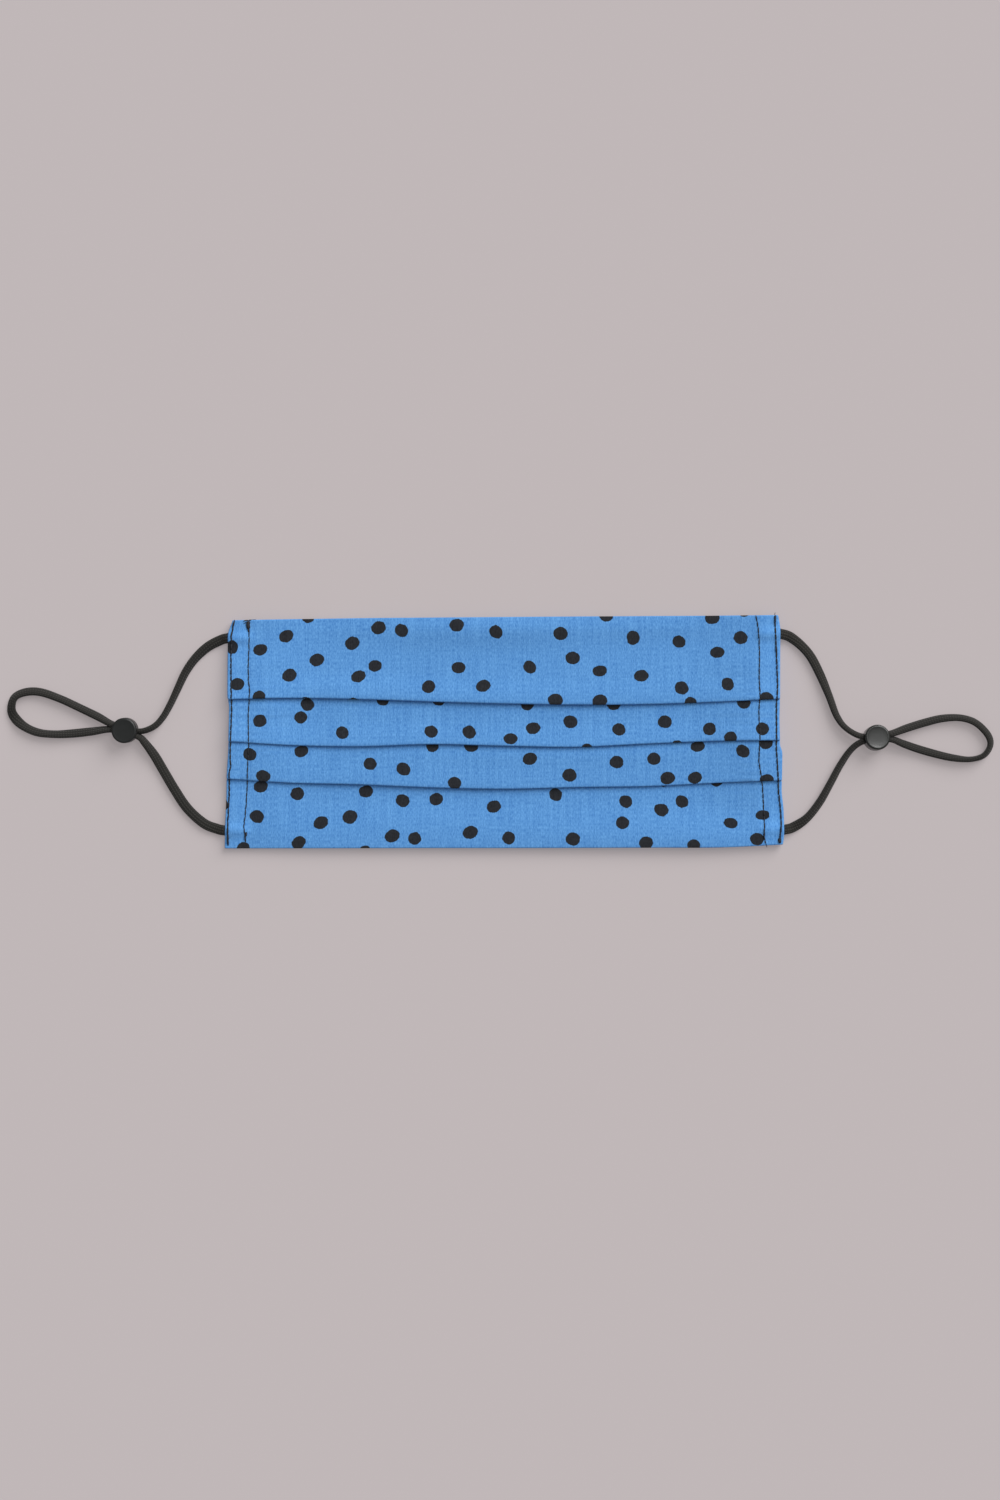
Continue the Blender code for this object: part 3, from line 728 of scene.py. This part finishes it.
def cotton(name, printed):
    """Plain-woven blue cotton with slubby threads, with or without its dots."""
    n = Nodes(name, roughness=0.86, specular=0.25)
    place = n.uv("weave")
    x, s, _ = n.split(place)
    warp = n.math("SINE", n.times(x, math.tau / THREAD_PITCH))
    weft = n.math("SINE", n.times(s, math.tau / THREAD_PITCH))
    threads = n.times(warp, weft)
    streaks = n.noise(n.stretched(place, (1150, 52, 1)), 1.0, 3.0, 0.6)
    fine = n.noise(n.stretched(place, (3000, 900, 1), (7, 3, 0)))
    cross = n.noise(n.stretched(place, (90, 1500, 1), (2, 9, 0)))
    cloudy = n.noise(n.stretched(place, (120, 120, 1)))
    tone = n.times(threads, 0.05)
    for pattern, weight in ((streaks, 0.50), (fine, 0.95), (cross, 0.20), (cloudy, 0.05)):
        tone = n.swing(tone, pattern, weight)
    share = n.between(tone, -0.25, 0.25)
    blue = n.mix(share, (0.044, 0.186, 0.492, 1.0), (0.136, 0.372, 0.742, 1.0))
    # The hems are painted lighter than the rest: partly for their extra layers of cloth, and
    # partly as painted light against the shade on their raised slopes.
    thick = n.mix(share, (0.047, 0.198, 0.524, 1.0), (0.145, 0.396, 0.790, 1.0))
    blue = n.mix(n.between(n.math("ABSOLUTE", x), 92.4 * MM, 93.6 * MM), blue, thick)
    height = n.plus(threads, n.times(streaks, 1.6))
    if printed:
        seed_a, seed_b, _ = n.split(n.uv("dot_seed"))
        ink = None
        for uv_map, seed in (("dot_first", seed_a), ("dot_second", seed_b)):
            u, v, _ = n.split(n.uv(uv_map))
            spot = n.node("ShaderNodeCombineXYZ")
            for socket, value in zip(spot.inputs, (u, v, seed)):
                n.feed(socket, value)
            wobble = n.noise(spot.outputs[0], 1.15, 1.5, 0.5)
            length = n.math("SQRT", n.plus(n.times(u, u), n.times(v, v)))
            edge = n.swing(n.swing(length, wobble, 0.30), fine, 0.12)
            one = n.between(edge, 1.015, 1.085, 1.0, 0.0)
            ink = one if ink is None else n.math("MAXIMUM", ink, one)
        black = n.mix(share, (0.004, 0.005, 0.008, 1.0), (0.019, 0.022, 0.028, 1.0))
        blue = n.mix(ink, blue, black)
    n.paint(blue)
    n.shader.inputs["Sheen Weight"].default_value = 0.06
    n.shader.inputs["Sheen Roughness"].default_value = 0.6
    n.bump(height, 0.35, 0.05 * MM)
    return n.material


def knit_elastic(name, colour):
    """Soft tubular knit: fine lengthwise ribs crossed by short slanting loops."""
    n = Nodes(name, roughness=0.82, specular=0.22)
    place = n.uv("knit")
    along, round_, _ = n.split(place)
    rib = n.math("SINE", n.times(round_, math.tau * KNIT_RIBS))
    slant = n.plus(n.times(along, math.tau / KNIT_PITCH), n.times(rib, 1.6))
    loops = n.math("SINE", slant)
    knit = n.times(n.plus(rib, 1.0), n.plus(loops, 1.3))
    fuzz = n.noise(n.stretched(place, (2600, 46, 1)), 1.0, 3.0, 0.6)
    tone = n.plus(n.times(knit, 0.16), n.times(fuzz, 0.55))
    dark = tuple(c * 0.40 for c in colour) + (1.0,)
    light = tuple(c * 1.75 for c in colour) + (1.0,)
    n.paint(n.mix(n.between(tone, 0.12, 0.85), dark, light))
    n.shader.inputs["Sheen Weight"].default_value = 0.08
    n.shader.inputs["Sheen Roughness"].default_value = 0.5
    n.bump(n.plus(knit, n.times(fuzz, 0.8)), 0.6, 0.12 * MM)
    return n.material


def moulded_plastic(name, colour, roughness, specular):
    """Satin moulded plastic with a faint grain and a few scuffs."""
    n = Nodes(name, roughness=roughness, specular=specular)
    place = n.node("ShaderNodeTexCoord").outputs["Object"]
    grain = n.noise(place, 5200.0)
    scuff = n.noise(n.stretched(place, (260, 900, 500)), 1.0, 3.0, 0.6)
    rough = n.between(scuff, 0.35, 0.75, roughness - 0.02, roughness + 0.04)
    n.feed(n.shader.inputs["Roughness"], rough)
    light = tuple(c * 1.25 for c in colour) + (1.0,)
    n.paint(n.mix(n.between(grain, 0.3, 0.7), tuple(colour) + (1.0,), light))
    n.bump(grain, 0.05, 0.006 * MM)
    return n.material


def spun_thread(name):
    """Black twisted sewing thread."""
    n = Nodes(name, roughness=0.7, specular=0.3)
    place = n.node("ShaderNodeTexCoord").outputs["Object"]
    twist = n.noise(n.stretched(place, (3000, 3000, 3000)))
    n.paint(n.mix(twist, (0.008, 0.008, 0.011, 1.0), (0.03, 0.031, 0.038, 1.0)))
    n.bump(twist, 0.3, 0.05 * MM)
    return n.material


# Thread

def add_strand(bm, points, radius, sides=6):
    """A round strand through points, pinched at its ends."""
    rings = []
    for i, p in enumerate(points):
        ahead = points[min(i + 1, len(points) - 1)] - points[max(i - 1, 0)]
        ahead.normalize()
        side = ahead.cross(Vector((0, 0, 1)))
        side = side.normalized() if side.length > 1e-6 else Vector((1, 0, 0))
        up = side.cross(ahead)
        ends = i in (0, len(points) - 1)
        r = radius * (0.6 if ends else 1.0)
        rings.append([bm.verts.new(p + (side * math.cos(a) + up * math.sin(a)) * r)
                      for a in (math.tau * k / sides for k in range(sides))])
    for near, far in zip(rings, rings[1:]):
        for k in range(sides):
            bm.faces.new((near[k], near[(k + 1) % sides], far[(k + 1) % sides], far[k]))
    bm.faces.new(list(reversed(rings[0])))
    bm.faces.new(rings[-1])


def cloth_at(surface, x, y, below=False):
    """The point of the cloth's upper or lower face at a place in metres."""
    start, up = (-0.01, 1) if below else (0.03, -1)
    hit = surface.ray_cast(Vector((x, y, start)), Vector((0, 0, up)))[0]
    return hit if hit is not None else Vector((x, y, 1.5 * MM))


def sew(bm, surface, side, line, radius, length, gap, below):
    """A row of stitches along a seam, each dipping into the cloth at its ends."""
    outwards = Vector((0, 0, -1 if below else 1))
    crown, dip = (-0.6, -0.9) if below else (0.75, -0.2)      # in radii, out of the cloth
    y, bottom = line[0][0] * MM, line[-1][0] * MM
    count = 0
    while y > bottom:
        uneven = STITCH_SHARE + 0.28 * noise.noise(Vector((count * 0.7, side, 2.0)))
        low = max(y - length * uneven, bottom)
        sway = STITCH_SWAY * noise.noise(Vector((count * 1.3, side * 3.0, line[0][1])))
        points = []
        for i in range(5):
            t = i / 4
            at = y + (low - y) * t
            x = side * (straight(line, at / MM) * MM + sway * (1 - 2 * t))
            points.append(cloth_at(surface, x, at, below)
                          + outwards * radius * (crown if 0 < i < 4 else dip))
        add_strand(bm, points, radius)
        if low <= bottom + 0.5 * MM:
            break
        y = low - gap
        count += 1


# Each seam: side, line, thread radius, stitch length and gap between stitches.
SEAMS = (
    (-1, LEFT_OUTER, 0.27, 2.7, -0.10),
    (-1, LEFT_INNER, 0.205, 2.7, -0.08),
    (1, RIGHT_INNER, 0.21, 2.6, -0.08),
    (1, RIGHT_OUTER, 0.28, 2.7, -0.05),
)
# Back-tacks run over the first and last stitches a second time: ends and radius.
TACKS = (
    ((-98.55, 40.4), (-99.1, 37.6), 0.27), ((-99.3, 36.6), (-99.65, 33.9), 0.25),
    ((-100.9, -37.4), (-100.8, -41.4), 0.33), ((-100.8, -34.2), (-100.95, -37.6), 0.27),
    ((98.75, 42.3), (98.7, 39.4), 0.30), ((99.0, 31.6), (99.25, 28.6), 0.30),
    ((100.95, -33.6), (100.7, -37.2), 0.27),
    ((-94.6, -37.2), (-94.35, -40.2), 0.20), ((94.75, -35.0), (94.75, -38.0), 0.2),
)
# Small knots where the thread ends were pulled tight: place, half width and height.
KNOTS = ((-93.4, 38.9, 1.15, 1.45), (-93.2, 36.9, 0.55, 0.6), (-94.2, -37.3, 0.6, 0.7),
         (100.35, -39.6, 0.95, 0.95), (94.7, -37.6, 0.5, 0.6), (98.7, 41.7, 0.6, 0.7))
# Loose ends of thread: three places that the end bends along, and its radius.
TAILS = (
    ((-93.3, 40.6), (-94.2, 40.8), (-95.2, 40.3), 0.15),
    ((-93.2, 40.6), (-92.2, 40.9), (-90.6, 40.9), 0.15),
    ((-93.1, 40.1), (-94.0, 40.0), (-95.0, 39.5), 0.12),
    ((95.2, -40.3), (95.5, -41.3), (95.9, -42.2), 0.11),
    ((98.7, 42.2), (98.6, 42.9), (98.9, 43.5), 0.11),
)


def make_seams(surface):
    """All four seams, their back-tacks, knots and loose thread ends."""
    bm = bmesh.new()
    for below in (False, True):
        for side, line, radius, length, gap in SEAMS:
            sew(bm, surface, side, line, radius * MM, length * MM, gap * MM, below)

    def above(x, y, rise):
        return cloth_at(surface, x * MM, y * MM) + Vector((0, 0, rise * MM))

    for (x0, y0), (x1, y1), radius in TACKS:
        points = [above(x0 + (x1 - x0) * i / 4, y0 + (y1 - y0) * i / 4,
                        0.42 if 0 < i < 4 else 0.0) for i in range(5)]
        add_strand(bm, points, radius * MM)
    for x, y, rx, ry in KNOTS:
        p = above(x, y, 0.16)
        points = [p + Vector((0.1 * rx * math.sin(i * 2.1) * MM, (1 - i / 2.5) * ry * MM, 0))
                  for i in range(6)]
        add_strand(bm, points, rx * 0.62 * MM, sides=8)
    for a, b, c, radius in TAILS:
        points = []
        for i in range(7):
            t = i / 6
            x, y = ((1 - t) ** 2 * u + 2 * t * (1 - t) * v + t * t * w
                    for u, v, w in zip(a, b, c))
            points.append(above(x, y, 0.15 + 0.25 * math.sin(math.pi * t)))
        add_strand(bm, points, radius * MM)
    seams = mesh_piece("seam_threads", bm)
    seams.data.materials.append(spun_thread("black_thread"))
    return seams


# Sweeping the ear loops

def loop_marks(route, side):
    """The route from inside one hem, round through the lock, to inside the
    other: place in metres and roll in degrees."""
    half_w, half_t = ELASTIC_WIDTH / 2, ELASTIC_THICK / 2
    marks = []
    for point in route:
        roll = math.radians(point.roll)
        half = math.hypot(half_w * math.sin(roll), half_t * math.cos(roll))
        resting = 1.05 * half + ELASTIC_GAP
        z = resting + point.rise * (BORE_Z - resting)
        marks.append((Vector((side * (PANEL_SIDE + point.out) * MM, point.up * MM, z)),
                      point.roll))
    heights = [height for which, height in EXITS if which == side]
    for height, at_start in zip(heights, (True, False)):
        y = height * MM
        z = hem_axis(side, y) + EXIT_LIFT
        edge = side_edge(side, y)
        slope = (marks[0][0].y if at_start else marks[-1][0].y) - y
        roll = 180.0 * round((marks[0] if at_start else marks[-1])[1] / 180.0)
        ends = [(Vector((side * (edge - inside * MM), y - slope * back, z)), roll)
                for inside, back in ((-0.2, 0.0), (2.5, 0.35), (5.5, 0.6))]
        marks = list(reversed(ends)) + marks if at_start else marks + ends
    return marks


ROLL_SCALE = 0.0001          # lets the roll ride along as a fourth coordinate
CHARCOAL = (0.0225, 0.0213, 0.0190)  # the elastic's colour


def smooth_line(marks, step):
    """Evenly spaced (place, roll) along the smooth curve through marks."""
    rows = [Vector((*p, roll * ROLL_SCALE)) for p, roll in marks]
    rows = [2 * rows[0] - rows[1]] + rows + [2 * rows[-1] - rows[-2]]
    fine = []
    for p0, p1, p2, p3 in zip(rows, rows[1:], rows[2:], rows[3:]):
        fine += [curve(p0, p1, p2, p3, i / 16) for i in range(16)]
    fine.append(rows[-2])
    lengths = [0.0]
    for a, b in zip(fine, fine[1:]):
        lengths.append(lengths[-1] + (b - a).xyz.length)
    count = round(lengths[-1] / step)
    out, k = [], 0
    for i in range(count + 1):
        target = lengths[-1] * i / count
        while k < len(lengths) - 2 and lengths[k + 1] < target:
            k += 1
        t = (target - lengths[k]) / max(lengths[k + 1] - lengths[k], 1e-12)
        p = fine[k].lerp(fine[k + 1], min(t, 1.0))
        out.append((p.xyz.copy(), p[3] / ROLL_SCALE))
    return out, lengths[-1]


def make_loop(name, route, side):
    """One soft flat elastic, swept along its route with its roll."""
    line, length = smooth_line(loop_marks(route, side), ELASTIC_STEP)
    sides = ELASTIC_SIDES
    bm = bmesh.new()
    uv = bm.loops.layers.uv.new("knit")
    rings = []
    for i, (p, roll) in enumerate(line):
        ahead = (line[min(i + 1, len(line) - 1)][0] - line[max(i - 1, 0)][0]).normalized()
        flat = ahead.cross(Vector((0, 0, 1))).normalized()
        up = flat.cross(ahead)
        a = math.radians(roll)
        wide = flat * math.cos(a) + up * math.sin(a)
        thick = -flat * math.sin(a) + up * math.cos(a)
        # A little uneven along its way, and fuller where it comes out of the hems.
        swell = 1.0 + 0.025 * noise.noise(Vector((i * 0.09, side * 4.0, 1.0)))
        swell += 0.045 * ease(1.0 - min(i, len(line) - 1 - i) / 40.0)
        wide *= ELASTIC_WIDTH / 2 * swell
        thick *= ELASTIC_THICK / 2 * swell
        rings.append([bm.verts.new(p + wide * pressed(math.cos(b), ELASTIC_PRESS)
                                   + thick * pressed(math.sin(b), ELASTIC_PRESS))
                      for b in (math.tau * k / sides for k in range(sides))])
    spacing = length / (len(line) - 1)
    for i, (near, far) in enumerate(zip(rings, rings[1:])):
        for k in range(sides):
            face = bm.faces.new((near[k], near[(k + 1) % sides], far[(k + 1) % sides], far[k]))
            for loop, (j, m) in zip(face.loops, ((i, k), (i, k + 1), (i + 1, k + 1), (i + 1, k))):
                loop[uv].uv = (j * spacing, m / sides)
    bm.faces.new(list(reversed(rings[0])))
    bm.faces.new(rings[-1])
    bmesh.ops.recalc_face_normals(bm, faces=bm.faces)
    loop_piece = mesh_piece(name, bm)
    loop_piece.data.materials.append(knit_elastic(name + "_knit", CHARCOAL))
    return loop_piece, [p for p, roll in line], length


# Turning the cord locks

def select_in_mesh(obj, edges=None, faces=None):
    """Select, in edit mode, the edges or faces that a test picks."""
    bm = bmesh.from_edit_mesh(obj.data)
    for edge in bm.edges if edges else ():
        edge.select = edges(edge)
    for face in bm.faces if faces else ():
        face.select = faces(face)
    bm.select_flush_mode()
    bmesh.update_edit_mesh(obj.data)


def turn_lock(name):
    """A short cylinder with rounded rims and dished end faces, on the origin."""
    deselect()
    bpy.ops.mesh.primitive_cylinder_add(vertices=72, radius=LOCK_RADIUS, depth=LOCK_HEIGHT,
                                        location=(0, 0, LOCK_HEIGHT / 2))
    lock = bpy.context.active_object
    lock.name = lock.data.name = name
    bpy.ops.object.mode_set(mode="EDIT")
    select_in_mesh(lock, edges=lambda edge: any(len(f.verts) > 4 for f in edge.link_faces))
    bpy.ops.mesh.bevel(offset=LOCK_RIM, segments=5, profile=0.5)
    select_in_mesh(lock, faces=lambda face: len(face.verts) > 8)
    for width, step in DISH:
        bpy.ops.mesh.inset(thickness=width * MM, depth=step * MM)
    bpy.ops.object.mode_set(mode="OBJECT")
    return lock


def drill_lock(lock):
    """The cross bore that the elastic runs through, with softened edges."""
    deselect()
    bpy.ops.mesh.primitive_cylinder_add(vertices=32, radius=BORE_RADIUS, depth=3 * LOCK_RADIUS,
                                        location=(0, 0, BORE_Z), rotation=(0, math.pi / 2, 0))
    cutter = bpy.context.active_object
    bore = lock.modifiers.new("bore", "BOOLEAN")
    bore.operation = "DIFFERENCE"
    bore.object = cutter
    soften = lock.modifiers.new("soften", "BEVEL")
    soften.width = BORE_EDGE
    soften.segments = 2
    soften.limit_method = "ANGLE"
    soften.angle_limit = math.radians(42)
    finish_piece(lock, "bore", "soften")
    bpy.data.objects.remove(cutter)


def make_lock(row):
    """A moulded cord lock, turned, drilled and stood in its place."""
    lock = turn_lock("lock_" + row.label)
    drill_lock(lock)
    finish_piece(lock)
    tilt = math.radians(row.lean)
    each = tilt * LEAN_EACH_WAY
    lock.rotation_euler = (-each, each, row.side * math.radians(row.turn))
    rest = LOCK_HEIGHT / 2 * math.cos(tilt) + LOCK_FOOT * math.sin(abs(tilt))
    lock.location = (row.side * (PANEL_SIDE + row.out) * MM, row.up * MM, rest)
    bpy.ops.object.transform_apply(location=True, rotation=True, scale=True)
    bpy.ops.object.shade_smooth_by_angle(angle=math.radians(35))
    lock.data.materials.append(moulded_plastic("lock_plastic_" + row.label, row.colour,
                                               row.roughness, row.gloss))
    return lock


# Assembly
cloth = make_panel()
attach(cloth, "root")
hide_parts("pleated_panel", "side_hem_left", "side_hem_right")

tree = BVHTree.FromObject(cloth, bpy.context.evaluated_depsgraph_get())
seams = make_seams(tree)
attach(seams, "root")

locks = [make_lock(row) for row in LOCKS]
for row, lock in zip(LOCKS, locks):
    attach(lock, "root")
    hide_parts("cord_lock_" + row.label)

for label, route, side, lock in zip(("left", "right"), (LEFT_LOOP, RIGHT_LOOP), (-1, 1), locks):
    loop, path, length = make_loop("elastic_" + label, route, side)
    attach(loop, "root")
    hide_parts("ear_loop_" + label)

# The stage: a plain pale floor with a faint even glow, which keeps the
# shadows soft, and two suns of soft light.
FLOOR_SIZE = 40.0
FLOOR_COLOUR = (0.290, 0.261, 0.263, 1.0)
FLOOR_GLOW = (0.237, 0.213, 0.216, 1.0)
SKY = 0.32                   # strength of the even white light from all round
# A wide softbox low at the upper right, and a small one nearly overhead:
# strength, width in degrees and the direction that the light comes from.
LAMPS = (("softbox", 2.95, 42.0, (0.60, 0.80, 0.754)), ("overhead", 0.40, 8.0, (0.23, 0.29, 1.0)))

# The camera looks straight down, square to the surface.
LENS, SENSOR = 85.0, 36.0
VIEW_HEIGHT = 1500 * PIXEL * MM      # of the surface, bottom to top of the photograph
CAMERA_AT = (-1.6 * MM, -6.65 * MM)
MASK_TOP = 2.0 * MM          # the height that is in the photograph's scale


def lay_floor():
    """The plain floor."""
    deselect()
    bpy.ops.mesh.primitive_plane_add(size=FLOOR_SIZE, location=(0, 0, 0))
    floor = bpy.context.active_object
    floor.name = "floor"
    backdrop = Nodes("backdrop", roughness=1.0, specular=0.0)
    backdrop.shader.inputs["Base Color"].default_value = FLOOR_COLOUR
    backdrop.shader.inputs["Emission Color"].default_value = FLOOR_GLOW
    backdrop.shader.inputs["Emission Strength"].default_value = 1.0
    floor.data.materials.append(backdrop.material)


def light_studio():
    """Even light from all round, and the two suns."""
    scene = bpy.context.scene
    scene.view_settings.view_transform = "Standard"
    scene.world = bpy.data.worlds.new("studio")
    scene.world.use_nodes = True
    background = scene.world.node_tree.nodes["Background"]
    background.inputs["Color"].default_value = (1.0, 1.0, 1.0, 1.0)
    background.inputs["Strength"].default_value = SKY
    for label, strength, wide, towards in LAMPS:
        lamp_data = bpy.data.lights.new(label, "SUN")
        lamp_data.energy = strength
        lamp_data.angle = math.radians(wide)
        lamp = bpy.data.objects.new(label, lamp_data)
        scene.collection.objects.link(lamp)
        lamp.rotation_euler = Vector(towards).to_track_quat("Z", "Y").to_euler()


def set_camera():
    """The camera above the mask, framed as the photograph is."""
    scene = bpy.context.scene
    camera_data = bpy.data.cameras.new("camera")
    camera_data.lens = LENS
    camera_data.sensor_width = SENSOR
    camera_data.clip_start = 0.05
    camera = bpy.data.objects.new("camera", camera_data)
    scene.collection.objects.link(camera)
    camera.location = (*CAMERA_AT, LENS / SENSOR * VIEW_HEIGHT + MASK_TOP)
    scene.camera = camera


lay_floor()
light_studio()
set_camera()

bpy.context.view_layer.update()
